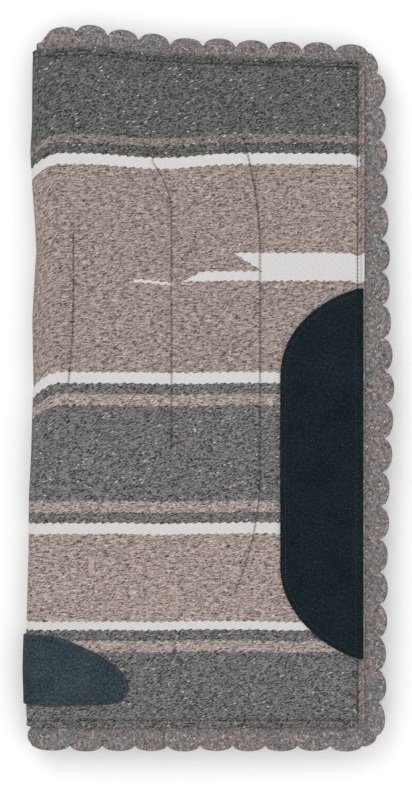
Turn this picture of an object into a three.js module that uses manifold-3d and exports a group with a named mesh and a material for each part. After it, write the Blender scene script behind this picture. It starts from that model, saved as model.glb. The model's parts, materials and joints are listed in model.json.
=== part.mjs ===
/**
 * Western saddle pad, folded along its spine and lying on its off side.
 *
 * Millimetres, +Z up. +X runs from the spine to the free edge, +Y to the rear of the pad.
 * Each half is a stack of layers: wool felt inside, woven blanket outside, wear leathers on top.
 * The two halves mirror each other in the plane where they meet, and three curved strips
 * (felt, blanket and wither leather) join them round the spine.
 */
import * as THREE from "three";
import { mergeVertices } from "three/addons/utils/BufferGeometryUtils.js";
import Module from "manifold-3d";

const wasm = await Module();
wasm.setup();

// Layer faces, measured outward from the plane where the two halves meet
const FELT = [1.5, 14.0];
const BLANKET = [14.3, 19.3];
const LEATHER = [19.6, 21.8];
const GAP = 0.3;

// Plan of one half
const SPINE_X = -183.6;
const FREE_EDGE_X = 172;
const FRONT_Y = -380;
const REAR_Y = 380;
const REAR_Y_AT_FREE_EDGE = 366;
const CORNER_RADIUS = 10;
const BLANKET_BEVEL = 1.5;

// Hem of the blanket: a seam, and a crease that splits the rolled edge into two ridges
const SEAM_INSET = 8;
const CREASE_INSET = 4;

// Rows of quilting, from the spine out; each bends toward the spine over its last hookLength
const QUILT_ROWS = [
  { x: -153.6, rear: 174, front: 4, rearHook: 0, frontHook: 6, hookLength: 110 },
  { x: -44, rear: 254, front: -64, rearHook: 22, frontHook: 0, hookLength: 60 },
  { x: 55, rear: 283, front: -226, rearHook: 20, frontHook: 27, hookLength: 130 },
];

// Straight runs of scallops on the felt, from the front of the spine round to its rear
const FELT_FRONT_Y = -401;
const FELT_REAR_Y = 396;
const FELT_RUNS = [
  { to: [-158, FELT_FRONT_Y], count: 1, depth: 6 },
  { to: [170, FELT_FRONT_Y], count: 9, depth: 6 },
  { to: [185.8, -390], count: 1, depth: 4 },
  { to: [190.3, -133], count: 7, depth: 9.5 },
  { to: [196.3, -18], count: 3, depth: 9.5 },
  { to: [192.2, 93], count: 3, depth: 9.5 },
  { to: [185.8, 353], count: 7, depth: 9.5 },
  { to: [176, 376], count: 1, depth: 5 },
  { to: [-46, 384.5], count: 6, depth: 9 },
  { to: [-150.6, 400], count: 3, depth: 9.5 },
  { to: [SPINE_X, FELT_REAR_Y], count: 1, depth: 7 },
];

// Wear leathers; a seam runs inside the edge of each, its ends a little apart at the hem
const SIDE_LEATHER = { hemX: 170.5, innerX: 77.5, front: -303, rear: 111 };
const WITHER_LEATHER = { front: -354.5, rear: -276.5, noseX: -92 };
const LEATHER_BEVEL = 0.6;
const LEATHER_SEAM_INSET = 5.5;
const LEATHER_SEAM_INSET_AT_HEM = 8.5;
const SEAM_CORNER_RADIUS = 5;
const SEAM_ENDS_APART = 8;

// Threads lie in channels, just below the face they are sewn through
const BLANKET_THREAD = { radius: 0.5, depth: 0.85, channelDepth: 1.7, channelWidth: 3.4 };
const LEATHER_THREAD = { radius: 0.35, depth: 0.55, channelDepth: 1.2, channelWidth: 1.6 };

const MATERIALS = {
  wool: { color: 0x8c8580, roughness: 0.95, metalness: 0 },
  felt: { color: 0x7e7979, roughness: 1, metalness: 0 },
  leather: { color: 0x1c2226, roughness: 0.7, metalness: 0 },
  thread: { color: 0x2b2a2b, roughness: 0.8, metalness: 0 },
};

const part = new THREE.Group();

/** Put a piece in the part. Its geometry has z = 0 on the plane where the halves meet. */
function addNode(name, kind, geometry) {
  geometry.computeVertexNormals();
  const node = new THREE.Mesh(geometry, new THREE.MeshStandardMaterial(MATERIALS[kind]));
  node.name = name;
  node.position.z = LEATHER[1];
  part.add(node);
}

/** The same piece on the other side of the plane where the halves meet. */
function mirrored(geometry) {
  const copy = geometry.clone().scale(1, 1, -1);
  copy.index.array.reverse();
  return copy;
}

/** Add a layer to the near half, and its mirror image to the off half. */
function addHalves(name, kind, geometry) {
  addNode(`${name}_off`, kind, mirrored(geometry));
  addNode(`${name}_near`, kind, geometry);
}

/** A closed mesh, with the vertices its faces share merged. */
function merged(geometry) {
  geometry.deleteAttribute("normal");
  geometry.deleteAttribute("uv");
  return mergeVertices(geometry);
}

function solidOf(geometry) {
  const mesh = new wasm.Mesh({
    numProp: 3,
    vertProperties: new Float32Array(geometry.attributes.position.array),
    triVerts: new Uint32Array(geometry.index.array),
  });
  return new wasm.Manifold(mesh);
}

/** A piece with tools cut out of it. */
function cut(geometry, tools) {
  const solid = tools.reduce((left, tool) => left.subtract(solidOf(tool)), solidOf(geometry));
  const mesh = solid.getMesh();
  const result = new THREE.BufferGeometry();
  result.setAttribute("position", new THREE.BufferAttribute(mesh.vertProperties, 3));
  result.setIndex(new THREE.BufferAttribute(mesh.triVerts, 1));
  return result;
}

function shapeOf(points) {
  return new THREE.Shape(points.map(([x, y]) => new THREE.Vector2(x, y)));
}

/** Turn a THREE path in the XY plane into a list of [x, y]. */
function pointsOf(path, divisions) {
  return path.getPoints(divisions).map((p) => [p.x, p.y]);
}

/** A flat layer with this outline. */
function layer(points, [inner, outer]) {
  const settings = { depth: outer - inner, bevelEnabled: false };
  return merged(new THREE.ExtrudeGeometry(shapeOf(points), settings).translate(0, 0, inner));
}

/** A flat layer with this outline, both of its rims bevelled. */
function bevelledLayer(points, [inner, outer], bevel) {
  const settings = {
    depth: outer - inner - 2 * bevel,
    bevelThickness: bevel,
    bevelSize: bevel,
    bevelOffset: -bevel,
    bevelSegments: 1,
  };
  const geometry = new THREE.ExtrudeGeometry(shapeOf(points), settings);
  return merged(geometry.translate(0, 0, inner + bevel));
}

/** The half-round strip that carries a layer round the spine. */
function spineStrip([inner, outer], front, rear) {
  const section = new THREE.Shape()
    .absarc(SPINE_X, 0, outer, Math.PI / 2, (3 * Math.PI) / 2, false)
    .absarc(SPINE_X, 0, inner, (3 * Math.PI) / 2, Math.PI / 2, true);
  const settings = { depth: rear - front, bevelEnabled: false, curveSegments: 20 };
  const geometry = new THREE.ExtrudeGeometry(section, settings);
  return merged(geometry.rotateX(Math.PI / 2).translate(0, rear, 0));
}

/** What is cut off a layer that is drawn to beyond the spine, so that it ends at its strip. */
const beyondSpine = SPINE_X - 10;
const spineCut = merged(new THREE.BoxGeometry(100, 1000, 100).translate(SPINE_X + GAP - 50, 0, 0));

/** The route of a thread on a face, with the face's outward normal at each of its points. */
class Route extends THREE.Curve {
  constructor(points, normals) {
    super();
    this.points = points;
    this.normals = normals;
  }

  getPoint(t) {
    const at = t * (this.points.length - 1);
    const i = Math.min(Math.floor(at), this.points.length - 2);
    return this.points[i].clone().lerp(this.points[i + 1], at - i);
  }

  // an extrusion takes one step from each point to the next
  getUtoTmapping(u) {
    return u;
  }

  computeFrenetFrames(steps) {
    const tangents = this.points.map((_, i) => this.getTangent(i / steps));
    const binormals = tangents.map((tangent, i) => tangent.clone().cross(this.normals[i]).normalize());
    return { tangents, normals: this.normals, binormals };
  }
}

/** A route on the flat face at height z. */
function flatRoute(points, z) {
  return new Route(
    points.map(([x, y]) => new THREE.Vector3(x, y, z)),
    points.map(() => new THREE.Vector3(0, 0, 1)),
  );
}

/** A route round the spine at one y, on the face at this radius. */
function spineRoute(y, radius, overrun = 0) {
  const steps = 16;
  const normals = Array.from({ length: steps + 1 }, (_, i) => {
    const angle = Math.PI * (0.5 + i / steps) + overrun * (i / steps - 0.5);
    return new THREE.Vector3(Math.cos(angle), 0, Math.sin(angle));
  });
  const spine = new THREE.Vector3(SPINE_X, y, 0);
  return new Route(normals.map((n) => n.clone().multiplyScalar(radius).add(spine)), normals);
}

/** Sweep a section along a route. Section points are [outward, across]. */
function sweep(route, section) {
  const settings = { steps: route.points.length - 1, extrudePath: route };
  return merged(new THREE.ExtrudeGeometry(shapeOf(section), settings));
}

/** The thread itself, sunk below its route. */
function threadAlong(route, { radius, depth }) {
  const sides = 6;
  const section = Array.from({ length: sides }, (_, k) => {
    const angle = (2 * Math.PI * k) / sides;
    return [radius * Math.cos(angle) - depth, radius * Math.sin(angle)];
  });
  return sweep(route, section);
}

/** The channel a thread lies in, wider at the face than at its bottom. */
function channelAlong(route, { radius, channelDepth, channelWidth }) {
  const bottom = radius + GAP;
  const top = channelWidth / 2;
  return sweep(route, [
    [-channelDepth, -bottom],
    [0.2, -top],
    [0.2, top],
    [-channelDepth, bottom],
  ]);
}

/** Lengthen a line at both ends, so that its channel ends clear of its thread. */
function lengthened(points, by) {
  const beyond = ([x0, y0], [x1, y1]) => {
    const length = Math.hypot(x0 - x1, y0 - y1);
    return [x0 + ((x0 - x1) * by) / length, y0 + ((y0 - y1) * by) / length];
  };
  return [
    beyond(points[0], points[1]),
    ...points,
    beyond(points.at(-1), points.at(-2)),
  ];
}

/** A line moved sideways, to the left of the way it runs. */
function moved(points, distance) {
  return points.map(([x, y], i) => {
    const [x0, y0] = points[Math.max(i - 1, 0)];
    const [x1, y1] = points[Math.min(i + 1, points.length - 1)];
    const length = Math.hypot(x1 - x0, y1 - y0);
    return [x - (distance * (y1 - y0)) / length, y + (distance * (x1 - x0)) / length];
  });
}

// --- Blanket -------------------------------------------------------------------------------

/** The three free sides of the blanket, from rear spine to front spine, moved in by inset. */
function hemLine(inset) {
  const slope = (REAR_Y_AT_FREE_EDGE - REAR_Y) / (FREE_EDGE_X - SPINE_X);
  const rearAt = (x) => REAR_Y + slope * (x - SPINE_X) - inset;
  const x = FREE_EDGE_X - inset;
  const front = FRONT_Y + inset;
  const radius = CORNER_RADIUS;
  const path = new THREE.Path();
  path.moveTo(SPINE_X + GAP, rearAt(SPINE_X));
  path.lineTo(x - radius, rearAt(x - radius));
  path.quadraticCurveTo(x, rearAt(x), x, rearAt(x) - radius);
  path.lineTo(x, front + radius);
  path.quadraticCurveTo(x, front, x - radius, front);
  path.lineTo(SPINE_X + GAP, front);
  return pointsOf(path, 5);
}

function quiltRow({ x, rear, front, rearHook, frontHook, hookLength }) {
  const steps = 26;
  return Array.from({ length: steps + 1 }, (_, i) => {
    const y = rear + ((front - rear) * i) / steps;
    const intoRear = Math.max(0, 1 - (rear - y) / hookLength);
    const intoFront = Math.max(0, 1 - (y - front) / hookLength);
    return [x - rearHook * intoRear ** 2 - frontHook * intoFront ** 2, y];
  });
}

function blanketChannel(line, beyond) {
  return channelAlong(flatRoute(lengthened(line, beyond), BLANKET[1]), BLANKET_THREAD);
}

const blanketCuts = [spineCut];
const blanketSpineCuts = [];
for (const inset of [SEAM_INSET, CREASE_INSET]) {
  blanketCuts.push(blanketChannel(hemLine(inset), 2));
  for (const y of [FRONT_Y + inset, REAR_Y - inset]) {
    blanketSpineCuts.push(channelAlong(spineRoute(y, BLANKET[1], 0.1), BLANKET_THREAD));
  }
}
QUILT_ROWS.forEach((row, i) => {
  const line = quiltRow(row);
  blanketCuts.push(blanketChannel(line, 1));
  const thread = threadAlong(flatRoute(line, BLANKET[1]), BLANKET_THREAD);
  addHalves(`quilt_thread_${i + 1}`, "thread", thread);
});
const blanketOutline = [[beyondSpine, FRONT_Y], ...hemLine(0).reverse(), [beyondSpine, REAR_Y]];
const blanket = bevelledLayer(blanketOutline, BLANKET, BLANKET_BEVEL);
addHalves("blanket", "wool", cut(blanket, blanketCuts));
addNode("blanket_spine", "wool", cut(spineStrip(BLANKET, FRONT_Y, REAR_Y), blanketSpineCuts));

const hemRoute = flatRoute(hemLine(SEAM_INSET), BLANKET[1]);
addHalves("hem_thread", "thread", threadAlong(hemRoute, BLANKET_THREAD));
for (const [end, y] of [["front", FRONT_Y + SEAM_INSET], ["rear", REAR_Y - SEAM_INSET]]) {
  const thread = threadAlong(spineRoute(y, BLANKET[1]), BLANKET_THREAD);
  addNode(`hem_thread_spine_${end}`, "thread", thread);
}

// --- Felt liner ----------------------------------------------------------------------------

/** Scallops between two points, the outside on the right hand of the way from one to the other. */
function scallops(from, to, count, depth) {
  const steps = 8;
  const along = [to[0] - from[0], to[1] - from[1]];
  const length = Math.hypot(...along);
  const out = [along[1] / length, -along[0] / length];
  return Array.from({ length: count * steps }, (_, i) => {
    const t = i / (count * steps);
    const u = (i % steps) / steps;
    const rise = depth * Math.sqrt(Math.max(0, 1 - (2 * u - 1) ** 2));
    return [from[0] + along[0] * t + out[0] * rise, from[1] + along[1] * t + out[1] * rise];
  });
}

let feltCorner = [SPINE_X + GAP, FELT_FRONT_Y];
const feltOutline = [];
for (const { to, count, depth } of FELT_RUNS) {
  feltOutline.push(...scallops(feltCorner, to, count, depth));
  feltCorner = to;
}
feltOutline.push([SPINE_X + GAP, FELT_REAR_Y]);
addHalves("felt_liner", "felt", layer(feltOutline, FELT));
addNode("felt_liner_spine", "felt", spineStrip(FELT, FELT_FRONT_Y, FELT_REAR_Y));

// --- Wear leathers -------------------------------------------------------------------------

/** The curved side of the side leather, from the hem at the rear to the hem at the front. */
function sideLeatherCurve({ hemX, innerX, front, rear }) {
  const path = new THREE.Path();
  path.moveTo(hemX - 6, rear);
  path.bezierCurveTo(hemX - 44, rear - 10, innerX + 1, rear - 42, innerX, rear - 97);
  path.lineTo(innerX, front + 100);
  path.bezierCurveTo(innerX + 1, front + 55, hemX - 48, front + 12, hemX - 4, front);
  return pointsOf(path, 14);
}

/** The seam inside the side leather's edge, from its hem side round the leather and back. */
function sideLeatherSeam(curve) {
  const hemX = SIDE_LEATHER.hemX - LEATHER_SEAM_INSET_AT_HEM;
  const inner = moved(curve, LEATHER_SEAM_INSET).filter(([x]) => x < hemX - SEAM_CORNER_RADIUS);
  const [rearX, rear] = inner[0];
  const [frontX, front] = inner.at(-1);
  const middle = (front + rear) / 2;
  const rearCorner = new THREE.Path();
  rearCorner.moveTo(hemX, middle + SEAM_ENDS_APART / 2);
  rearCorner.lineTo(hemX, rear - SEAM_CORNER_RADIUS);
  rearCorner.quadraticCurveTo(hemX, rear, rearX, rear);
  const frontCorner = new THREE.Path();
  frontCorner.moveTo(frontX, front);
  frontCorner.quadraticCurveTo(hemX, front, hemX, front + SEAM_CORNER_RADIUS);
  frontCorner.lineTo(hemX, middle - SEAM_ENDS_APART / 2);
  return [...pointsOf(rearCorner, 4), ...inner.slice(1, -1), ...pointsOf(frontCorner, 4)];
}

/** The edge of the wither leather on one side, from the front of the spine round its nose. */
function witherLeatherEdge({ front, rear, noseX }) {
  const path = new THREE.Path();
  path.moveTo(SPINE_X + GAP, front);
  path.lineTo(noseX - 38, front);
  path.bezierCurveTo(noseX - 8, front + 1, noseX, front + 8, noseX, front + 21);
  path.bezierCurveTo(noseX, front + 50, SPINE_X + 12, rear, SPINE_X + 3, rear);
  path.lineTo(SPINE_X + GAP, rear);
  return pointsOf(path, 14);
}

function leatherChannel(line, beyond) {
  return channelAlong(flatRoute(lengthened(line, beyond), LEATHER[1]), LEATHER_THREAD);
}

function leatherThread(line) {
  return threadAlong(flatRoute(line, LEATHER[1]), LEATHER_THREAD);
}

const sideCurve = sideLeatherCurve(SIDE_LEATHER);
const sideSeam = sideLeatherSeam(sideCurve);
const sideOutline = [
  [SIDE_LEATHER.hemX, SIDE_LEATHER.front],
  [SIDE_LEATHER.hemX, SIDE_LEATHER.rear],
  ...sideCurve,
];
const sideLeather = bevelledLayer(sideOutline, LEATHER, LEATHER_BEVEL);
addHalves("side_leather", "leather", cut(sideLeather, [leatherChannel(sideSeam, 2)]));
addHalves("side_leather_thread", "thread", leatherThread(sideSeam));

const { front: witherFront, rear: witherRear } = WITHER_LEATHER;
const witherEdge = witherLeatherEdge(WITHER_LEATHER);
const witherSeam = moved(witherEdge, LEATHER_SEAM_INSET);
const witherOutline = [[beyondSpine, witherFront], ...witherEdge, [beyondSpine, witherRear]];
const witherLeather = bevelledLayer(witherOutline, LEATHER, LEATHER_BEVEL);
const witherCuts = [spineCut, leatherChannel(witherSeam, 2)];
addHalves("wither_leather", "leather", cut(witherLeather, witherCuts));
addHalves("wither_leather_thread", "thread", leatherThread(witherSeam));

const witherSpineCuts = [];
const witherSeamEnds = [
  ["front", witherFront + LEATHER_SEAM_INSET],
  ["rear", witherRear - LEATHER_SEAM_INSET],
];
for (const [end, y] of witherSeamEnds) {
  witherSpineCuts.push(channelAlong(spineRoute(y, LEATHER[1], 0.1), LEATHER_THREAD));
  const thread = threadAlong(spineRoute(y, LEATHER[1]), LEATHER_THREAD);
  addNode(`wither_leather_thread_spine_${end}`, "thread", thread);
}
const witherStrip = spineStrip(LEATHER, witherFront, witherRear);
addNode("wither_leather_spine", "leather", cut(witherStrip, witherSpineCuts));

export default part;
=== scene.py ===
"""Western saddle pad, folded at its spine and seen from above on a pale floor.

Every soft layer is drawn on one cloth plane, (s, y): s runs round the fold from the off side
(negative) to the near side (positive), with s = 0 on the spine. fold() wraps that plane round
the hinge line, so a layer that crosses the spine is one piece.
"""

import json
import math

import bmesh
import bpy
import numpy as np
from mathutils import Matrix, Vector
from mathutils.geometry import delaunay_2d_cdt
from mathutils.kdtree import KDTree


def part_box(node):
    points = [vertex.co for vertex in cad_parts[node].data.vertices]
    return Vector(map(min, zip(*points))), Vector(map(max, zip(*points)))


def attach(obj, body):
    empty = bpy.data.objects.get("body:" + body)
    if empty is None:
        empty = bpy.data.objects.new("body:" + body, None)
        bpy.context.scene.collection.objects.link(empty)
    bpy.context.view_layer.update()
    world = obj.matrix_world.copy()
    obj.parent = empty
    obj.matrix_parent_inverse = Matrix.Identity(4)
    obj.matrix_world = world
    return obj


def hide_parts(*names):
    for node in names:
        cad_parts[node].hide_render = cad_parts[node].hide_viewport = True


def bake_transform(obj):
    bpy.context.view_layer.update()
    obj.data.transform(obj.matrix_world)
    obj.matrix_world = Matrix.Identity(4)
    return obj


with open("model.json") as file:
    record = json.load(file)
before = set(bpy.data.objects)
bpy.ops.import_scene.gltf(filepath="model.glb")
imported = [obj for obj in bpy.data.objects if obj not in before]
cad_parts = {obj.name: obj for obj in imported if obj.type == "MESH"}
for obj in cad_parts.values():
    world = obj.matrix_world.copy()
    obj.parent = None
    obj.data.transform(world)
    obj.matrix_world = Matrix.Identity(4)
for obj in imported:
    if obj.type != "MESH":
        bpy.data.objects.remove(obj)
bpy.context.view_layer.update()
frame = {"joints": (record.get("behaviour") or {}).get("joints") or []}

MM = 0.001

# --- The pad's dimensions, those of the CAD part -------------------------------------------

SPINE_X, _, MID_Z = frame["joints"][0]["pos_m"]


def layer_faces(node):
    """Faces of a layer, measured outward from the plane where the two halves meet."""
    low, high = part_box(node)
    return low[2] - MID_Z, high[2] - MID_Z


FELT = layer_faces("felt_liner_near")
BLANKET = layer_faces("blanket_near")
LEATHER = layer_faces("side_leather_near")

# Length of cloth from the spine to where a half becomes flat
QUARTER = math.pi / 2 * BLANKET[1]

(_, FRONT_Y, _), (FREE_EDGE_X, REAR_Y, _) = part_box("blanket_near")
HEM_S = QUARTER + FREE_EDGE_X - SPINE_X
CORNER_RADIUS = 10 * MM

SEAM_INSET = 8 * MM
CREASE_INSET = 4 * MM
LEATHER_SEAM_INSET = 5.5 * MM
LEATHER_SEAM_INSET_AT_HEM = 8.5 * MM

# The side leather's straight edge, in from the hem
LEATHER_INSET = 1.5 * MM

# The ends of a stitch go this far down into wool or felt, and into leather
SINK = 0.9 * MM
LEATHER_SINK = 0.5 * MM

QUILT_STITCH = {"pitch": 4.2 * MM, "length": 3.7 * MM, "radius": 0.55 * MM}
HEM_STITCH = {"pitch": 4.2 * MM, "length": 3.4 * MM, "radius": 0.5 * MM}
FELT_STITCH = {"pitch": 4.2 * MM, "length": 3.4 * MM, "radius": 0.4 * MM}
LEATHER_STITCH = {"pitch": 3.2 * MM, "length": 2.5 * MM, "radius": 0.4 * MM}

# Rows of quilting: each bends toward the spine over its last hook_length
QUILT_ROWS = [
    {"x": -153.6, "rear": 174, "front": 4, "rear_hook": 0, "front_hook": 6, "hook_length": 110},
    {"x": -44, "rear": 254, "front": -64, "rear_hook": 22, "front_hook": 0, "hook_length": 60},
    {"x": 55, "rear": 283, "front": -226, "rear_hook": 20, "front_hook": 27, "hook_length": 130},
]


def s_of_x(x):
    """Cloth distance from the spine of a point on the near half."""
    return x - SPINE_X + QUARTER


def smoothstep(t):
    t = np.clip(t, 0, 1)
    return t * t * (3 - 2 * t)


def bump(distance, width):
    return np.exp(-((distance / width) ** 2))


# --- The fold ------------------------------------------------------------------------------

# How far the fold bulges past the CAD radius along the pad, as (y, millimetres)
FOLD_BULGE = [
    (-380, 5),
    (-320, 6.5),
    (-255, 4.7),
    (-200, 3.5),
    (-120, 2.4),
    (0, -3),
    (80, -1.6),
    (154, -6.2),
    (266, 1),
    (300, -1),
    (380, -2),
]

# The felt flares where it comes out of the blanket at the front
FRONT_FLARE = 5 * MM
FLARE_LENGTH = 6 * MM


def fold(s, y, radius):
    """Where a point of the cloth plane goes, radius away from where the halves meet."""
    s, y, radius = np.broadcast_arrays(np.asarray(s, float), y, radius)
    angle = math.pi / 2 + np.clip(s / BLANKET[1], -math.pi / 2, math.pi / 2)
    flat = np.maximum(np.abs(s) - QUARTER, 0)
    knots = np.array(FOLD_BULGE) * MM
    bulge = np.interp(y, knots[:, 0], knots[:, 1])
    share = (radius - FELT[0]) / (BLANKET[1] - FELT[0])
    bulge = bulge * share + FRONT_FLARE * smoothstep((FRONT_Y - y) / FLARE_LENGTH)
    x = SPINE_X + flat - (radius + bulge) * np.sin(angle)
    z = MID_Z - radius * np.cos(angle)
    return np.stack([x, y, z], axis=-1)


# --- Relief of the blanket -----------------------------------------------------------------


def rear_edge(s):
    """The blanket's rear edge runs forward toward the hem."""
    across = np.array([SPINE_X / MM, -129, -82, -20, 172])
    ahead = np.interp(np.abs(s), s_of_x(across * MM), [1, -1.5, 4.5, 8.5, 14])
    return REAR_Y - ahead * MM


def hem_inset(s, y):
    """Distance in from the blanket's nearest free edge."""
    return np.minimum(HEM_S - np.abs(s), np.minimum(y - FRONT_Y, rear_edge(s) - y))


def row_x(row, y):
    """Where a quilting row crosses this y, and how far y is beyond the row's ends."""
    y_mm = y / MM
    into_rear = np.clip(1 - (row["rear"] - y_mm) / row["hook_length"], 0, 1)
    into_front = np.clip(1 - (y_mm - row["front"]) / row["hook_length"], 0, 1)
    x = row["x"] - row["rear_hook"] * into_rear**2 - row["front_hook"] * into_front**2
    beyond = np.maximum(np.maximum(y_mm - row["rear"], row["front"] - y_mm), 0)
    return x * MM, beyond * MM


def waves(s, y):
    """Slow rise and fall of the cloth, between -1 and 1."""
    total = 0.45 * np.sin(61 * s + 17 * y + 0.6) + 0.3 * np.sin(-33 * s + 49 * y + 2.1)
    return total + 0.25 * np.sin(93 * s + 71 * y + 4.0)


def from_rows(s, y):
    """Distance to the nearest quilting row, negative on its spine side."""
    nearest = np.full(np.shape(s), 0.1)
    for row in QUILT_ROWS:
        x, beyond = row_x(row, y)
        across = np.abs(s) - s_of_x(x)
        far = np.copysign(np.hypot(across, beyond), across)
        nearest = np.where(np.abs(far) < np.abs(nearest), far, nearest)
    return nearest


def relief(s, y):
    """Height of the blanket's face over its CAD face."""
    inset = hem_inset(s, y)
    seams = swell_at(s, y) - SWELL * smoothstep(inset / SEAM_INSET)
    seams = seams - 1.2 * MM * bump(inset - SEAM_INSET, 1.6 * MM)
    seams = seams - 0.7 * MM * bump(inset - CREASE_INSET, 1.2 * MM)
    seams = seams - 0.9 * MM * bump(from_rows(s, y), 2.6 * MM)
    # the fold pulls them nearly flat
    pulled = 1 - 0.8 * smoothstep(1.5 - np.abs(s) / QUARTER)
    return 0.5 * MM * (waves(s, y) - 1) + seams * pulled


# --- Mesh makers ---------------------------------------------------------------------------


def make_object(name, points, faces):
    mesh = bpy.data.meshes.new(name)
    mesh.from_pydata([tuple(p) for p in points], [], faces)
    mesh.shade_smooth()
    mesh.update()
    piece = bpy.data.objects.new(name, mesh)
    bpy.context.scene.collection.objects.link(piece)
    return piece


def spaced(start, end, step):
    return np.linspace(start, end, max(2, round((end - start) / step) + 1))


def offset_loop(loop, inset):
    """A closed loop of points moved in by inset. The loop runs anticlockwise."""
    before = np.roll(loop, 1, axis=0)
    after = np.roll(loop, -1, axis=0)
    into = loop - before
    out = after - loop
    into /= np.linalg.norm(into, axis=1)[:, None]
    out /= np.linalg.norm(out, axis=1)[:, None]
    tangent = into + out
    tangent /= np.linalg.norm(tangent, axis=1)[:, None]
    lean = np.maximum(np.sqrt(np.clip((1 + (into * out).sum(1)) / 2, 0, 1)), 0.5)
    normal = np.stack([-tangent[:, 1], tangent[:, 0]], axis=1)
    return loop + normal * (inset / lean)[:, None]


def resample(loop, step):
    """Points about step apart along a closed loop, its corners kept."""
    out = []
    for a, b in zip(loop, np.roll(loop, -1, axis=0)):
        count = max(1, round(np.linalg.norm(b - a) / step))
        out.extend(a + (b - a) * k / count for k in range(count))
    return np.array(out)


def inside(points, loop):
    """Which points are inside a closed loop."""
    found = np.zeros(len(points), bool)
    for a, b in zip(loop, np.roll(loop, -1, axis=0)):
        crosses = (a[1] > points[:, 1]) != (b[1] > points[:, 1])
        with np.errstate(divide="ignore", invalid="ignore"):
            at = a[0] + (points[:, 1] - a[1]) * (b[0] - a[0]) / (b[1] - a[1])
        found ^= crosses & (points[:, 0] < at)
    return found


def clear_of(points, loop, distance):
    """Which points are at least this far from every point of a loop."""
    tree = KDTree(len(loop))
    for i, p in enumerate(loop):
        tree.insert((p[0], p[1], 0), i)
    tree.balance()
    return np.array([tree.find((p[0], p[1], 0))[2] > distance for p in points])


def patch(name, loop, faces_at, spacing, rim):
    """A closed piece drawn as an anticlockwise loop in the cloth plane and wrapped by fold().

    faces_at(s, y) gives the heights of its lower and upper face. Its rims are rounded.
    """
    loop = resample(np.asarray(loop, float), spacing)
    count = len(loop)
    insets = np.array([0, 0.3, 1]) * rim
    rings = [offset_loop(loop, inset) for inset in insets]
    drops = rim * (1 - np.sqrt(1 - (1 - insets / rim) ** 2))
    low, high = loop.min(0), loop.max(0)
    grid = np.stack(
        np.meshgrid(spaced(low[0], high[0], spacing), spaced(low[1], high[1], spacing)), -1
    ).reshape(-1, 2)
    grid = grid[inside(grid, rings[-1])]
    grid = grid[clear_of(grid, rings[-1], 0.5 * spacing)]
    plane = [Vector(p) for p in np.vstack([rings[-1], grid])]
    edges = [(i, (i + 1) % count) for i in range(count)]
    plane, _, triangles, *_ = delaunay_2d_cdt(plane, edges, [list(range(count))], 1, 1e-7)
    plane = np.array([tuple(v) for v in plane])
    points, starts = [], []

    def add(at, face, drop):
        starts.append(sum(len(p) for p in points))
        lower, upper = faces_at(at[:, 0], at[:, 1])
        points.append(fold(at[:, 0], at[:, 1], upper - drop if face else lower + drop))

    add(plane, 1, 0)
    for ring, drop in [(1, drops[1]), (0, drops[0])]:
        add(rings[ring], 1, drop)
    for ring, drop in [(0, drops[0]), (1, drops[1])]:
        add(rings[ring], 0, 0.5 * drop)
    add(plane, 0, 0)
    top, under = starts[0], starts[-1]
    faces = [tuple(top + i for i in t) for t in triangles]
    faces += [tuple(under + i for i in reversed(t)) for t in triangles]
    for upper, lower in zip(starts, starts[1:]):
        faces += [(upper + i, lower + i, lower + j, upper + j) for i, j in edges]
    return make_object(name, np.vstack(points), faces)


def stitches(name, paths, pitch, length, radius):
    """Rows of stitches. A path is (points in the cloth plane, height, sink).

    The ends of each stitch go down by sink, or up into a face that looks down if it is negative.
    """
    rings, sides = 5, 6
    bow = np.sin(np.linspace(0.12, 1, rings // 2 + 1) * math.pi / 2)
    bow = np.concatenate([bow, bow[-2::-1]])
    around = np.arange(sides) * 2 * math.pi / sides
    points, faces = [], []
    for line, height, sink in paths:
        line = np.asarray(line, float)
        travelled = np.concatenate([[0], np.cumsum(np.linalg.norm(np.diff(line, axis=0), axis=1))])
        for start in np.arange(0.3 * pitch, travelled[-1] - length, pitch):
            along = np.linspace(start, start + length, rings)
            s = np.interp(along, travelled, line[:, 0])
            y = np.interp(along, travelled, line[:, 1])
            across = np.array([-(y[-1] - y[0]), s[-1] - s[0]])
            across /= np.linalg.norm(across)
            middle = height(s, y) - sink * (1 - bow)
            size = radius * (0.35 + 0.65 * bow)
            for r in range(rings):
                points.append(
                    fold(
                        s[r] + across[0] * size[r] * np.cos(around),
                        y[r] + across[1] * size[r] * np.cos(around),
                        middle[r] + size[r] * np.sin(around),
                    )
                )
            first = (len(points) - rings) * sides  # of this stitch's points
            for r in range(rings - 1):
                for k in range(sides):
                    a, b = first + r * sides + k, first + r * sides + (k + 1) % sides
                    faces.append((a, a + sides, b + sides, b))
            faces.append(tuple(first + k for k in range(sides)))
            faces.append(tuple(first + (rings - 1) * sides + k for k in reversed(range(sides))))
    return make_object(name, np.vstack(points), faces)


# --- The blanket's swell -------------------------------------------------------------------

# The cover stands this much higher between its seams than on them
SWELL = 2.6 * MM
SWELL_STEP = 8 * MM
SWELL_FRAMES = 20


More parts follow.
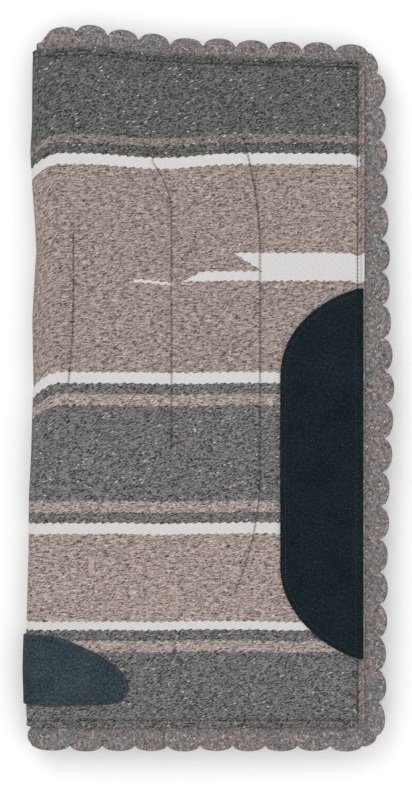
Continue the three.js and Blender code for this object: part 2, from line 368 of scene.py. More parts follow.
def simulate_swell():
    """Blow up a flat cover that is sewn down along its hem and its quilting rows.

    Returns the cover's lines of s and of y, and its height where they cross.
    """
    s_lines = spaced(-HEM_S, HEM_S, SWELL_STEP)
    y_lines = spaced(FRONT_Y, REAR_Y, SWELL_STEP)
    s, y = np.meshgrid(s_lines, y_lines, indexing="ij")
    rows = len(y_lines)
    corners = [i * rows + j for i in range(len(s_lines) - 1) for j in range(rows - 1)]
    faces = [(a, a + rows, a + rows + 1, a + 1) for a in corners]
    points = np.stack([s, y, np.zeros(s.shape)], axis=-1).reshape(-1, 3)
    cover = make_object("cover", points, faces)
    sewn = (hem_inset(s, y) < SEAM_INSET) | (np.abs(from_rows(s, y)) < 0.55 * SWELL_STEP)
    pins = cover.vertex_groups.new(name="sewn")
    pins.add([int(i) for i in np.flatnonzero(sewn)], 1.0, "REPLACE")
    settings = cover.modifiers.new("swell", "CLOTH").settings
    settings.vertex_group_mass = pins.name
    settings.quality = 4
    settings.tension_stiffness = 12
    settings.compression_stiffness = 12
    settings.shear_stiffness = 4
    settings.bending_stiffness = 0.4
    settings.shrink_min = -0.012
    settings.use_pressure = True
    settings.uniform_pressure_force = 4
    settings.effector_weights.gravity = 0
    for step in range(1, SWELL_FRAMES + 1):
        bpy.context.scene.frame_set(step)
    blown = cover.evaluated_get(bpy.context.evaluated_depsgraph_get()).to_mesh()
    height = np.empty(3 * len(points))
    blown.vertices.foreach_get("co", height)
    bpy.data.objects.remove(cover)
    bpy.context.scene.frame_set(1)
    risen = np.maximum(height[2::3].reshape(s.shape), 0)
    return s_lines, y_lines, SWELL * (1 - np.exp(-risen / SWELL))


def swell_at(s, y):
    """Height of the swollen cover, between the points of the simulated one."""
    s_lines, y_lines, height = COVER
    i = np.clip((s - s_lines[0]) / (s_lines[1] - s_lines[0]), 0, len(s_lines) - 1.001)
    j = np.clip((y - y_lines[0]) / (y_lines[1] - y_lines[0]), 0, len(y_lines) - 1.001)
    i0, j0 = np.floor(i).astype(int), np.floor(j).astype(int)
    u, v = smoothstep(i - i0), smoothstep(j - j0)
    front = height[i0, j0] * (1 - u) + height[i0 + 1, j0] * u
    rear = height[i0, j0 + 1] * (1 - u) + height[i0 + 1, j0 + 1] * u
    return front * (1 - v) + rear * v


COVER = simulate_swell()

# --- Blanket -------------------------------------------------------------------------------

HEM_ROUND = 2.4 * MM

# The mesh is fine across the hem and even inside it: its lines there, in from the free edge
HEM_ZONE = 17 * MM
HEM_LINES = np.array([0, 0.3, 1, 2, 3, 4, 5, 6, 7, 8, 9, 10, 11.5, 13.5]) * MM

DROOP = 17 * MM


def droop(s, y):
    """How far the woven stripes sag toward the front: over the spine, at the middle quilting row
    and where the hem takes them up.
    """
    at_spine = DROOP * smoothstep(1 - np.abs(s) / (45 * MM)) * smoothstep((y + 110 * MM) / (90 * MM))
    from_row = np.abs(s) - s_of_x(-54 * MM)
    at_row = 5 * MM * bump(from_row, 52 * MM) * smoothstep((y - 130 * MM) / (90 * MM))
    at_hem = 3.5 * MM * bump(HEM_S - np.abs(s) - SEAM_INSET, 3 * MM)
    return at_spine + at_row + at_hem


def make_blanket():
    step = 3.4 * MM
    middle = spaced(-HEM_S + HEM_ZONE, HEM_S - HEM_ZONE, step)
    columns = np.concatenate([-HEM_S + HEM_LINES, middle, HEM_S - HEM_LINES[::-1]])
    between = spaced(0, 1, step / (REAR_Y - FRONT_Y))
    rear = rear_edge(columns)[:, None]
    front_lines = FRONT_Y + HEM_LINES + 0 * rear
    middle_lines = FRONT_Y + HEM_ZONE + (rear - FRONT_Y - 2 * HEM_ZONE) * between
    y = np.concatenate([front_lines, middle_lines, rear - HEM_LINES[::-1]], axis=1)
    s = np.repeat(columns[:, None], y.shape[1], axis=1)
    inset = hem_inset(s, y)
    rim = np.clip(1 - inset / HEM_ROUND, 0, 1)
    outer = BLANKET[1] + relief(s, y) - HEM_ROUND * (1 - np.sqrt(1 - rim**2))
    # the corners are rounded by easing the grid's square corner onto a circle
    side_inset = HEM_S - np.abs(s)
    end_inset = np.minimum(y - FRONT_Y, rear - y)
    u = np.clip(1 - side_inset / CORNER_RADIUS, 0, 1)
    v = np.clip(1 - end_inset / CORNER_RADIUS, 0, 1)
    round_s = CORNER_RADIUS * u * (1 - np.sqrt(1 - v**2 / 2))
    round_y = CORNER_RADIUS * v * (1 - np.sqrt(1 - u**2 / 2))
    face_s = s - np.sign(s) * round_s
    face_y = y - np.where(y > 0, 1, -1) * round_y
    over = fold(face_s, face_y, outer)
    under = fold(face_s, face_y, np.full(s.shape, BLANKET[0]))
    cloth = np.stack([s, y + droop(s, y), from_rows(s, y)], axis=-1)
    hem = np.stack([side_inset, end_inset, np.minimum(side_inset, end_inset)], axis=-1)

    rows = y.shape[1]
    total = s.size

    def at(i, j):
        return i * rows + j

    last_i, last_j = len(columns) - 1, rows - 1
    faces = [
        (at(i + 1, j), at(i + 1, j + 1), at(i, j + 1), at(i, j))
        for i in range(last_i)
        for j in range(last_j)
    ]
    rim_line = [at(i, 0) for i in range(last_i)] + [at(last_i, j) for j in range(last_j)]
    rim_line += [at(i, last_j) for i in range(last_i, 0, -1)] + [at(0, j) for j in range(last_j, 0, -1)]
    for a, b in zip(rim_line, rim_line[1:] + rim_line[:1]):
        faces.append((b, a, a + total, b + total))
    # the hidden face is coarse, and meets the rim vertex for vertex
    coarse = 6
    i_lines = [*range(0, last_i, coarse), last_i]
    j_lines = [*range(0, last_j, coarse), last_j]
    for i0, i1 in zip(i_lines, i_lines[1:]):
        for j0, j1 in zip(j_lines, j_lines[1:]):
            ring = [(i, j0) for i in (range(i0, i1) if j0 == 0 else (i0,))]
            ring += [(i1, j) for j in (range(j0, j1) if i1 == last_i else (j0,))]
            ring += [(i, j1) for i in (range(i1, i0, -1) if j1 == last_j else (i1,))]
            ring += [(i0, j) for j in (range(j1, j0, -1) if i0 == 0 else (j1,))]
            faces.append(tuple(total + at(i, j) for i, j in reversed(ring)))
    points = np.vstack([over.reshape(-1, 3), under.reshape(-1, 3)])
    piece = make_object("blanket", points, faces)
    for name, values in (("cloth", cloth), ("hem", hem)):
        values = np.tile(values.reshape(-1, 3), (2, 1))
        attribute = piece.data.attributes.new(name, "FLOAT_VECTOR", "POINT")
        attribute.data.foreach_set("vector", values.astype(np.float32).ravel())
    drop_loose(piece)
    return piece


def drop_loose(piece):
    """Remove the points no face uses."""
    mesh = bmesh.new()
    mesh.from_mesh(piece.data)
    bmesh.ops.delete(mesh, geom=[v for v in mesh.verts if not v.link_faces], context="VERTS")
    mesh.to_mesh(piece.data)
    mesh.free()
    piece.data.shade_smooth()


# --- Felt liner ----------------------------------------------------------------------------

FELT_FRONT_Y = -401
FELT_REAR_Y = 396

# Straight runs of scallops on the near half, from the front of the spine round to its rear:
# where each ends, how many scallops it has and how deep they are, in millimetres
FELT_RUNS = [
    ((-158, FELT_FRONT_Y), 1, 7),
    ((170, FELT_FRONT_Y), 9, 6),
    ((185.8, -390), 1, 4),
    ((190.3, -133), 7, 9.5),
    ((196.3, -18), 3, 9.5),
    ((192.2, 93), 3, 9.5),
    ((185.8, 353), 7, 9.5),
    ((176, 376), 1, 5),
    ((-46, 384.5), 6, 9),
    ((-150.6, 400), 3, 9.5),
    ((SPINE_X / MM, FELT_REAR_Y), 1, 7),
]


def scallops(start, end, count, depth):
    """Scallops from start up to end, bulging to the right hand of the way between them."""
    steps = 10
    start, end = np.array(start), np.array(end)
    along = end - start
    out = np.array([along[1], -along[0]]) / np.linalg.norm(along)
    t = np.arange(count * steps) / (count * steps)
    u = 2 * (np.arange(count * steps) % steps) / steps - 1
    swell = 1 + 0.06 * np.sin(2.4 * np.floor(t * count) + start[1])
    rise = depth * swell * np.sqrt(1 - u**2) ** 1.15
    return start + along * t[:, None] + out * rise[:, None]


def felt_loop():
    corner = (SPINE_X / MM - 22, FELT_FRONT_Y + 3)
    runs = []
    for end, count, depth in FELT_RUNS:
        runs.append(scallops(corner, end, count, depth))
        corner = end
    half = np.vstack(runs) * MM
    half[:, 0] = s_of_x(half[:, 0])
    front_end = [(0, (FELT_FRONT_Y + 5) * MM)]
    rear_end = [(QUARTER, FELT_REAR_Y * MM), (0.6 * QUARTER, (FELT_REAR_Y - 8) * MM)]
    half = np.vstack([front_end, half, rear_end])
    return np.vstack([half, half[:0:-1] * [-1, 1]])


def felt_faces(s, y):
    """The seams and the quilting rows draw in the inner face of the two halves."""
    lift = 0.4 * MM * (waves(s, y) - 1)
    on_half = smoothstep((np.abs(s) - QUARTER) / (20 * MM))
    from_seams = np.minimum(np.abs(from_rows(s, y)), np.abs(hem_inset(s, y) - SEAM_INSET))
    drawn_in = 1.6 * MM * bump(from_seams, 6 * MM)
    return FELT[0] + drawn_in * on_half, FELT[1] + lift * on_half


# --- Wear leathers -------------------------------------------------------------------------


def bezier(a, b, c, d, steps=16):
    t = np.linspace(0, 1, steps + 1)[1:, None]
    a, b, c, d = (np.array(p, float) for p in (a, b, c, d))
    return (1 - t) ** 3 * a + 3 * (1 - t) ** 2 * t * b + 3 * (1 - t) * t**2 * c + t**3 * d


def side_leather_loop(side):
    (inner, front, _), (hem, rear, _) = np.array(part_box("side_leather_near")) / MM
    top, bottom = (inner, rear - 97), (inner, front + 100)
    loop = np.vstack(
        [
            [(hem, front), (hem, rear), (hem - 6, rear)],
            bezier((hem - 6, rear), (hem - 44, rear - 10), (inner + 1, rear - 42), top),
            [bottom],
            bezier(bottom, (inner + 1, front + 55), (hem - 48, front + 12), (hem - 4, front)),
        ]
    )
    loop = loop * MM
    loop[:, 0] = s_of_x(loop[:, 0])
    return loop if side > 0 else loop[::-1] * [-1, 1]


def wither_leather_loop():
    """The whole wither leather, from nose to nose over the spine."""
    (_, front, _), (nose, rear, _) = np.array(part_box("wither_leather_near")) / MM
    spine = SPINE_X / MM
    half = np.vstack(
        [
            [(spine, front), (nose - 38, front)],
            bezier((nose - 38, front), (nose - 8, front + 1), (nose, front + 8), (nose, front + 21)),
            bezier((nose, front + 21), (nose, front + 50), (spine + 12, rear), (spine + 3, rear)),
        ]
    )
    half = half * MM
    half[:, 0] = s_of_x(half[:, 0])
    return np.vstack([half, half[::-1] * [-1, 1]])


def leather_faces(s, y):
    lift = 0.5 * MM * (waves(s, y) - 1) - 0.2 * MM
    return LEATHER[0] + lift, LEATHER[1] + lift


# --- Materials -----------------------------------------------------------------------------


def linear(r, g, b):
    """Linear colour of an 8-bit sRGB one."""
    return tuple(c / 255 / 12.92 if c <= 10 else ((c / 255 + 0.055) / 1.055) ** 2.4 for c in (r, g, b))


class Shader:
    """A procedural material, built node by node. Each call returns the new node's output."""

    def __init__(self, name, roughness):
        self.material = bpy.data.materials.new(name)
        self.material.use_nodes = True
        self.tree = self.material.node_tree
        self.surface = self.tree.nodes["Principled BSDF"]
        self.surface.inputs["Roughness"].default_value = roughness
        self.surface.inputs["Specular IOR Level"].default_value = 0.06

    def node(self, kind, output, settings=(), **inputs):
        made = self.tree.nodes.new(kind)
        for key, value in dict(settings).items():
            setattr(made, key, value)
        for key, value in inputs.items():
            socket = made.inputs[int(key[1:]) if key[1:].isdigit() else key]
            if isinstance(value, bpy.types.NodeSocket):
                self.tree.links.new(value, socket)
            else:
                socket.default_value = value
        return made.outputs[output]

    def parts(self, kind, settings=(), **inputs):
        """All the outputs of a node."""
        return self.node(kind, 0, settings, **inputs).node.outputs

    def calc(self, operation, a, b=0.0, c=0.0):
        return self.node("ShaderNodeMath", 0, {"operation": operation}, _0=a, _1=b, _2=c)

    def noise(self, vector, scale, detail=2.0, distortion=0.0):
        return self.node(
            "ShaderNodeTexNoise", "Fac", Vector=vector, Scale=scale, Detail=detail, Distortion=distortion
        )

    def scaled(self, vector, factors):
        return self.node("ShaderNodeVectorMath", 0, {"operation": "MULTIPLY"}, _0=vector, _1=factors)

    def blend_colour(self, factor, a, b, how="MIX"):
        made = self.tree.nodes.new("ShaderNodeMix")
        made.data_type = "RGBA"
        made.blend_type = how
        for index, value in ((0, factor), (6, a), (7, b)):
            if isinstance(value, bpy.types.NodeSocket):
                self.tree.links.new(value, made.inputs[index])
            else:
                made.inputs[index].default_value = (*value, 1) if isinstance(value, tuple) else value
        return made.outputs[2]

    def remap(self, value, low, high, to_low=0.0, to_high=1.0):
        """Linear from (low, high) to (to_low, to_high), clamped."""
        return self.node(
            "ShaderNodeMapRange", 0, Value=value, _1=low, _2=high, _3=to_low, _4=to_high
        )

    def brighten(self, colour, factor):
        """The colour times a number."""
        grey = self.node("ShaderNodeCombineXYZ", 0, X=factor, Y=factor, Z=factor)
        return self.blend_colour(1.0, colour, grey, "MULTIPLY")

    def finish(self, colour, height=None, strength=0.5, distance=0.001):
        self.tree.links.new(colour, self.surface.inputs["Base Color"])
        if height is not None:
            normal = self.node(
                "ShaderNodeBump", 0, Height=height, Strength=strength, Distance=distance
            )
            self.tree.links.new(normal, self.surface.inputs["Normal"])
        return self.material


# --- Wool ----------------------------------------------------------------------------------

CHARCOAL_REAR = linear(91, 91, 89)
CHARCOAL_MIDDLE = linear(107, 104, 104)
CHARCOAL_FRONT = linear(104, 102, 102)
TAUPE_REAR = linear(148, 136, 131)
TAUPE_FRONT = linear(157, 144, 139)
PINK = linear(158, 147, 142)
PINK_REAR = linear(125, 116, 112)
WHITE = linear(210, 208, 206)
HEM_PINK = linear(140, 126, 121)

# The woven stripes from the front edge to the rear one: (millimetres, colour)
STRIPES = [
    (85, CHARCOAL_FRONT),
    (12, PINK),
    (10.4, CHARCOAL_FRONT),
    (11.6, WHITE),
    (98, TAUPE_FRONT),
    (12, WHITE),
    (11.4, CHARCOAL_MIDDLE),
    (11.1, PINK),
    (108.5, CHARCOAL_MIDDLE),
    (12, PINK),
    (13, CHARCOAL_MIDDLE),
    (12, WHITE),
    (231, TAUPE_REAR),
    (12, WHITE),
    (12, CHARCOAL_REAR),
    (11, PINK_REAR),
    (120, CHARCOAL_REAR),
]

# The arrow let into the broad stripe, in millimetres on the near half. Its shank runs to the
# hem between two lines of y; at its head two slanted edges, each through a tip, meet in a notch
ARROW_SHANK = (119.6, 150.8)
ARROW_NOTCH_Y = 130.2
ARROW_FRONT_TIP = (-33.6, 118.8)
ARROW_FRONT_SLOPE = 2.1
ARROW_REAR_TIP = (27, 149.5)
ARROW_REAR_SLOPE = -1.59

# The thin line ahead of the arrow: the x of its middle, its y at x = 0, and its slant
LINE_X = -64.0
LINE_Y_AT_X_0 = 113.2
LINE_SLOPE = -0.083
LINE_HALF_LENGTH = 22.0
LINE_HALF_WIDTH = 1.5

TOOTH = 9.3 * MM
RIB = 2.5 * MM
RIB_SLOPE = 0.36
FLOAT_LENGTH = 2.7 * MM
FLOAT_WIDTH = 1 * MM


def stripe_colour(shader, edge):
    """The colour of the stripe at this y."""
    total = sum(width for width, _ in STRIPES)
    place = shader.remap(edge, FRONT_Y, FRONT_Y + total * MM)
    ramp = shader.tree.nodes.new("ShaderNodeValToRGB")
    ramp.color_ramp.interpolation = "CONSTANT"
    shader.tree.links.new(place, ramp.inputs[0])
    stops = ramp.color_ramp.elements
    reached = 0.0
    for index, (width, colour) in enumerate(STRIPES):
        stop = stops[0] if index == 0 else stops.new(reached / total)
        stop.color = (*colour, 1)
        reached += width
    stops.remove(stops[-1])
    return ramp.outputs[0]


def on_arrow(shader, s, edge):
    """1 on the arrow and on the thin line ahead of it, and 0 elsewhere."""
    calc = shader.calc
    x = calc("MULTIPLY", calc("SUBTRACT", calc("ABSOLUTE", s), QUARTER - SPINE_X), 1 / MM)
    y = calc("MULTIPLY", edge, 1 / MM)

    def head_edge(tip, slope):
        return calc("MULTIPLY_ADD", y, slope, tip[0] - slope * tip[1])

    front_edge_x = head_edge(ARROW_FRONT_TIP, ARROW_FRONT_SLOPE)
    rear_edge_x = head_edge(ARROW_REAR_TIP, ARROW_REAR_SLOPE)
    is_rear = calc("GREATER_THAN", y, ARROW_NOTCH_Y)
    end = calc("MULTIPLY_ADD", is_rear, calc("SUBTRACT", rear_edge_x, front_edge_x), front_edge_x)
    low, high = ARROW_SHANK
    band = calc("MULTIPLY", calc("GREATER_THAN", y, low), calc("LESS_THAN", y, high))
    shank = calc("MULTIPLY", band, calc("GREATER_THAN", x, end))
    line_y = calc("MULTIPLY_ADD", x, LINE_SLOPE, LINE_Y_AT_X_0)
    off_line = calc("ABSOLUTE", calc("SUBTRACT", line_y, y))
    from_middle = calc("ABSOLUTE", calc("ADD", x, -LINE_X))
    in_line = calc("LESS_THAN", from_middle, LINE_HALF_LENGTH)
    line = calc("MULTIPLY", calc("LESS_THAN", off_line, LINE_HALF_WIDTH), in_line)
    return calc("MAXIMUM", shank, line)


def heathered(shader, colour, woolly, taupe, tone, lots):
    """Wool of mixed yarn: every float has its own tone, and a few are white, black or dyed."""
    calc, remap = shader.calc, shader.remap
    shade, fleck, hue = lots
    warmth = calc("MULTIPLY", remap(hue, 0.4, 1.0, 0.0, 0.35), taupe)
    tinted = shader.blend_colour(warmth, colour, linear(160, 137, 124))
    coolness = calc("MULTIPLY", remap(hue, 0.35, 0.0, 0.0, 0.3), woolly)
    tinted = shader.blend_colour(coolness, tinted, linear(130, 131, 130))
    heather = shader.brighten(tinted, tone)
    white = calc("MULTIPLY", remap(fleck, 0.992, 0.994, 0.0, 0.8), woolly)
    heather = shader.blend_colour(white, heather, linear(214, 210, 202))
    black = calc("MULTIPLY", remap(fleck, 0.012, 0.01, 0.0, 0.85), woolly)
    heather = shader.blend_colour(black, heather, linear(34, 34, 34))
    dyed = calc("MULTIPLY", remap(hue, 0.003, 0.002, 0.0, 0.5), woolly)
    is_blue = calc("GREATER_THAN", shade, 0.6)
    dye = shader.blend_colour(is_blue, linear(150, 84, 84), linear(84, 100, 128))
    return shader.blend_colour(dyed, heather, dye)


def seam_shadow(shader, row, inset, y):
    """The painted shade that the colour is multiplied by along a quilting row, the hem's seam and its
    crease.
    """
    calc, remap = shader.calc, shader.remap
    painted_shade = remap(calc("ABSOLUTE", row), 0.3 * MM, 2.2 * MM, 0.6, 1.0)
    # the front hem is flatter, so its painted shade is fainter
    at_front = calc("LESS_THAN", y, FRONT_Y + 15 * MM)
    for place, width, shadow in ((SEAM_INSET, 1.7 * MM, 0.62), (CREASE_INSET, 1.3 * MM, 0.76)):
        apart = calc("ABSOLUTE", calc("SUBTRACT", inset, place))
        depth = calc("MULTIPLY_ADD", at_front, 0.6 * (1 - shadow), shadow)
        dark = shader.node("ShaderNodeMapRange", 0, Value=apart, _1=0.3 * MM, _2=width, _3=depth)
        painted_shade = calc("MULTIPLY", painted_shade, dark)
    return painted_shade


def wool_material():
    shader = Shader("striped_wool", 0.95)
    calc, remap = shader.calc, shader.remap
    cloth = shader.node("ShaderNodeAttribute", "Vector", {"attribute_name": "cloth"})
    s, y, row = shader.parts("ShaderNodeSeparateXYZ", Vector=cloth)
    hem = shader.node("ShaderNodeAttribute", "Vector", {"attribute_name": "hem"})
    from_side, _, inset = shader.parts("ShaderNodeSeparateXYZ", Vector=hem)

    # a twill: its ribs rise gently across the cloth, and its floats lie along them
    along = calc("MULTIPLY_ADD", y, RIB_SLOPE, s)
    across = calc("MULTIPLY_ADD", s, -RIB_SLOPE, y)
    weave = shader.node(
        "ShaderNodeCombineXYZ",
        0,
        X=calc("MULTIPLY", along, 1 / FLOAT_LENGTH),
        Y=calc("MULTIPLY", across, 1 / FLOAT_WIDTH),
    )
    rib = calc("PINGPONG", across, RIB / 2)
    fibre = shader.noise(weave, 1.1, 2.0, 0.5)
    flat = {"voronoi_dimensions": "2D"}
    floats = shader.parts("ShaderNodeTexVoronoi", settings=flat, Vector=weave, Scale=1.0, Randomness=0.8)
    lots = shader.parts("ShaderNodeSeparateColor", Color=floats["Color"])
    shade, dip = lots[0], floats["Distance"]

    # the edges of the stripes are toothed by the twill
    tooth = calc("FRACT", calc("MULTIPLY", s, 1 / TOOTH))
    drift = shader.noise(shader.scaled(cloth, (9, 2, 0)), 1.0, 1.0)
    hump = calc("MULTIPLY", remap(tooth, 0.0, 0.7), remap(tooth, 1.0, 0.7))
    edge = calc("MULTIPLY_ADD", hump, -1.7 * MM, y)
    edge = calc("MULTIPLY_ADD", drift, 4 * MM, edge)
    edge = calc("MULTIPLY_ADD", shade, 0.9 * MM, edge)
    edge = calc("SUBTRACT", edge, 1.5 * MM)

    # the hem is rolled, and its sides are wound in pink; the arrow runs over the roll
    on_roll = remap(from_side, SEAM_INSET - 1.5 * MM, SEAM_INSET - 3 * MM)
    winding = calc("MULTIPLY", on_roll, 0.75)
    stripe = shader.blend_colour(winding, stripe_colour(shader, edge), HEM_PINK)
    colour = shader.blend_colour(on_arrow(shader, s, edge), stripe, WHITE)

    # white yarn is plain, and the taupe is gentler than the charcoal
    value = shader.node("ShaderNodeSeparateColor", 0, Color=colour)
    plain = remap(value, 0.5, 0.6)
    woolly = calc("SUBTRACT", 1.0, plain)
    taupe = remap(value, 0.15, 0.25)
    tone = calc("ADD", remap(shade, 0.0, 1.0, -0.62, 0.62), remap(fibre, 0.25, 0.75, -0.5, 0.5))
    tone = calc("ADD", tone, remap(dip, 0.2, 0.7, 0.2, -0.3))
    tone = calc("MULTIPLY", tone, remap(taupe, 0.0, 1.0, 1.15, 0.76))
    streak = shader.noise(shader.scaled(cloth, (130, 640, 0)), 1.0, 1.0)
    tone = calc("ADD", tone, calc("MULTIPLY", remap(streak, 0.25, 0.75, -0.42, 0.42), taupe))
    mottle = shader.noise(shader.scaled(cloth, (0.5, 1, 0)), 260.0, 3.0)
    uneven = calc("MULTIPLY_ADD", taupe, 0.14, 0.1)
    mottled = calc("MULTIPLY", remap(mottle, 0.3, 0.7, -1.0, 1.0), uneven)
    tone = calc("ADD", tone, calc("ADD", mottled, 0.99))
    tone = calc("MULTIPLY", tone, remap(tooth, 0.0, 0.22, 0.92, 1.0))
    heather = heathered(shader, colour, woolly, taupe, tone, lots)
    ribbed = remap(rib, 0.0, 0.8 * MM, 0.78, 1.04)
    ribbed = calc("MULTIPLY", ribbed, remap(fibre, 0.2, 0.8, 0.97, 1.04))
    colour = shader.blend_colour(plain, heather, shader.brighten(colour, ribbed))
    # painted shade in the channels of the quilting rows, the hem's seam and its crease
    colour = shader.brighten(colour, seam_shadow(shader, row, inset, y))

    height = calc("SUBTRACT", calc("MULTIPLY", fibre, 0.4), dip)
    height = calc("ADD", height, remap(rib, 0.0, RIB / 2, 0.0, 0.35))
    return shader.finish(colour, height, 0.6, 0.9 * MM)


# --- Felt, leather and thread --------------------------------------------------------------


def felt_material():
    shader = Shader("tweed_felt", 1.0)
    remap = shader.remap
    place = shader.node("ShaderNodeTexCoord", "Object")
    fibre = shader.noise(place, 330.0, 3.0, 1.2)
    patchy = shader.noise(place, 34.0, 2.0)
    colour = shader.blend_colour(
        remap(patchy, 0.35, 0.65), linear(110, 109, 110), linear(125, 114, 112)
    )
    colour = shader.brighten(colour, remap(fibre, 0.32, 0.68, 0.4, 1.6))

    # loose strands: the thin lines along which a noise passes its middle value
    strands = ((150.0, (206, 202, 198), 0.85, 0.52), (190.0, (44, 42, 44), 0.8, 0.47))
    for scale, shade, share, rarity in strands:
        wander = shader.noise(place, scale, 1.0, 2.5)
        off = shader.calc("ABSOLUTE", shader.calc("SUBTRACT", wander, 0.5))
        broken = remap(shader.noise(place, scale * 1.7, 1.0), rarity, rarity + 0.06)
        strand = shader.calc("MULTIPLY", remap(off, 0.035, 0.012, 0.0, share), broken)
        colour = shader.blend_colour(strand, colour, linear(*shade))
    return shader.finish(colour, fibre, 0.6, 0.9 * MM)


def leather_material(name, colour, dust):
    """Roughout leather. The dust is how much of its nap stands out pale."""
    shader = Shader(name, 0.62)
    remap = shader.remap
    place = shader.node("ShaderNodeTexCoord", "Object")
    nap = shader.noise(place, 420.0, 3.0, 0.5)
    cloud = shader.noise(place, 26.0, 2.0)
    grain = shader.node("ShaderNodeTexVoronoi", "Distance", Vector=place, Scale=900.0)
    tone = shader.calc(
        "ADD", remap(nap, 0.3, 0.7, 0.55, 1.45), remap(cloud, 0.3, 0.7, -0.2, 0.2)
    )
    hide = shader.brighten(colour, tone)
    dusty = shader.calc("MULTIPLY", remap(nap, 0.5, 0.72), remap(cloud, 0.3, 0.6, 0.4, 1.0))
    hide = shader.blend_colour(shader.calc("MULTIPLY", dusty, dust), hide, linear(128, 134, 138))
    return shader.finish(hide, shader.calc("ADD", nap, grain), 0.3, 0.4 * MM)


def thread_material(name, colour):
    shader = Shader(name, 0.7)
    place = shader.node("ShaderNodeTexCoord", "Object")
    ply = shader.noise(place, 1500.0, 2.0)
    twisted = shader.brighten(colour, shader.remap(ply, 0.3, 0.7, 0.7, 1.3))
    return shader.finish(twisted, ply, 0.3, 0.2 * MM)


def dress(piece, material):
    piece.data.materials.clear()
    piece.data.materials.append(material)


# --- Camera, light and floor ---------------------------------------------------------------

VIEW_LENGTH = 893.6 * MM
VIEW_CENTRE = (-5.4 * MM, -13.4 * MM)
FACE_Z = 41 * MM

camera_data = bpy.data.cameras.new("camera")
camera_data.lens = 100
camera = bpy.data.objects.new("camera", camera_data)
bpy.context.scene.collection.objects.link(camera)
distance = VIEW_LENGTH * camera_data.lens / camera_data.sensor_width
camera.location = (*VIEW_CENTRE, FACE_Z + distance)
bpy.context.scene.camera = camera
bpy.context.scene.view_settings.view_transform = "Standard"


def softbox(name, place, target, size, power):
    data = bpy.data.lights.new(name, "AREA")
    data.shape = "SQUARE"
    data.size = size
    data.energy = power
    lamp = bpy.data.objects.new(name, data)
    bpy.context.scene.collection.objects.link(lamp)
    lamp.visible_camera = False
    lamp.location = place
    lamp.rotation_euler = (Vector(target) - Vector(place)).to_track_quat("-Z", "Y").to_euler()


softbox("key", (-1.0, 1.4, 2.2), (0, 0, 0), 1.6, 16)
softbox("fill", (1.6, -0.8, 2.4), (0, 0, 0), 1.8, 9)
world = bpy.data.worlds.new("studio")
world.use_nodes = True
world.node_tree.nodes["Background"].inputs["Color"].default_value = (1, 1, 1, 1)
world.node_tree.nodes["Background"].inputs["Strength"].default_value = 0.94
bpy.context.scene.world = world

floor_mesh = bpy.data.meshes.new("floor")
reach = 30
corners = [(-reach, -reach, 0), (reach, -reach, 0), (reach, reach, 0), (-reach, reach, 0)]
floor_mesh.from_pydata(corners, [], [(0, 1, 2, 3)])
floor = bpy.data.objects.new("floor", floor_mesh)
floor.location.z = -0.3 * MM
bpy.context.scene.collection.objects.link(floor)
floor_shader = Shader("pale_floor", 0.9)
floor_tone = floor_shader.noise(floor_shader.node("ShaderNodeTexCoord", "Object"), 2.0)
floor_shader.finish(
    floor_shader.blend_colour(floor_tone, linear(249, 249, 249), linear(251, 251, 251))
)
floor_mesh.materials.append(floor_shader.material)

# --- Assembly ------------------------------------------------------------------------------

wool = wool_material()
felt = felt_material()
side_hide = leather_material("side_hide", linear(15, 27, 32), 0.05)
wither_hide = leather_material("wither_hide", linear(46, 57, 64), 0.14)
quilting = thread_material("quilting_thread", linear(62, 56, 54))
black_thread = thread_material("black_thread", linear(34, 36, 38))
worn_thread = thread_material("worn_thread", linear(62, 72, 76))

blanket = make_blanket()
dress(blanket, wool)
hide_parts("blanket_near", "blanket_off", "blanket_spine")

liner = patch("felt_liner", felt_loop(), felt_faces, 5 * MM, 2.5 * MM)
dress(liner, felt)
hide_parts("felt_liner_near", "felt_liner_off", "felt_liner_spine")

wither = patch("wither_leather", wither_leather_loop(), leather_faces, 3 * MM, 0.9 * MM)
dress(wither, wither_hide)
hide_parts("wither_leather_near", "wither_leather_off", "wither_leather_spine")

for side, half in ((1, "near"), (-1, "off")):
    leather = patch(f"wear_leather_{half}", side_leather_loop(side), leather_faces, 4 * MM, 0.9 * MM)
    dress(leather, side_hide)
    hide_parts(f"side_leather_{half}")
    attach(leather, f"{half}_side")


def row_line(row, side):
    y = spaced(row["front"], row["rear"], 3) * MM
    x, _ = row_x(row, y)
    return np.stack([side * s_of_x(x), y], axis=1)


def on_blanket(s, y):
    return BLANKET[1] + relief(s, y) + 0.1 * MM


def on_felt(s, y):
    """The felt's inner face, where the seams come out."""
    return felt_faces(s, y)[0] - 0.15 * MM


def on_leather(s, y):
    return leather_faces(s, y)[1] - 0.15 * MM


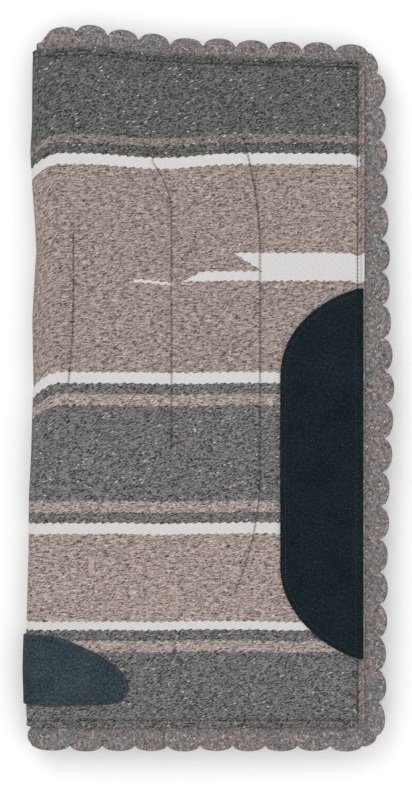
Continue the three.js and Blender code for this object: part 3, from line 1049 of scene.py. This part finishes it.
threads = []
for side, half in ((1, "near"), (-1, "off")):
    lines = [row_line(row, side) for row in QUILT_ROWS]
    rows = [(line, on_blanket, SINK) for line in lines]
    rows += [(line, on_felt, -SINK) for line in lines]
    quilt = stitches(f"quilt_stitches_{half}", rows, **QUILT_STITCH)
    dress(quilt, quilting)
    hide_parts(*[f"quilt_thread_{i}_{half}" for i in (1, 2, 3)])
    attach(quilt, f"{half}_side")
    outline = resample(side_leather_loop(side), 2 * MM)
    seam = offset_loop(outline, LEATHER_SEAM_INSET)
    hem_side = HEM_S - LEATHER_INSET - LEATHER_SEAM_INSET_AT_HEM
    seam[:, 0] = np.clip(seam[:, 0], -hem_side, hem_side)
    rows = [(np.vstack([seam, seam[:1]]), on_leather, LEATHER_SINK)]
    sewn = stitches(f"wear_leather_stitches_{half}", rows, **LEATHER_STITCH)
    dress(sewn, worn_thread)
    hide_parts(f"side_leather_thread_{half}")
    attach(sewn, f"{half}_side")
    threads += [quilt, sewn]


def hem_loop(inset):
    """Round both halves and over the spine at each end, cutting the corners."""
    cut, step = 6 * MM, 4 * MM
    front = FRONT_Y + inset
    edge = HEM_S - inset
    s = spaced(-edge + cut, edge - cut, step)
    front_side = np.stack([s, np.full(s.shape, front)], axis=1)
    rear_side = np.stack([s[::-1], rear_edge(s[::-1]) - inset], axis=1)
    y = spaced(front + cut, rear_edge(edge) - inset - cut, step)
    near_side = np.stack([np.full(y.shape, edge), y], axis=1)
    off_side = near_side[::-1] * [-1, 1]
    loop = np.vstack([front_side, near_side, rear_side, off_side])
    return np.vstack([loop, loop[:1]])


hem_seam = hem_loop(SEAM_INSET)
hem = stitches("hem_stitches", [(hem_seam, on_blanket, SINK)], **HEM_STITCH)
dress(hem, quilting)
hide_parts("hem_thread_near", "hem_thread_off", "hem_thread_spine_front", "hem_thread_spine_rear")

# The hem's seam shows again on the felt's inner face
felt_seam = stitches("felt_stitches", [(hem_seam, on_felt, -SINK)], **FELT_STITCH)
dress(felt_seam, quilting)

seam = offset_loop(resample(wither_leather_loop(), 2 * MM), LEATHER_SEAM_INSET)
rows = [(np.vstack([seam, seam[:1]]), on_leather, LEATHER_SINK)]
wither_sewn = stitches("wither_leather_stitches", rows, **LEATHER_STITCH)
dress(wither_sewn, black_thread)
ends = ("near", "off", "spine_front", "spine_rear")
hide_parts(*[f"wither_leather_thread_{end}" for end in ends])

# A fold turns between the inner faces of its own two halves: how far each of them is from the plane
# where the halves meet, in millimetres. These numbers are not read here; each piece only has its
# placement baked into its mesh
inner_faces = [
    (blanket, 13.8),
    (hem, 13.8),
    (wither, 19),
    (wither_sewn, 19),
    (liner, 1.4),
    (felt_seam, 1),
]
for piece, face in inner_faces:
    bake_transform(piece)
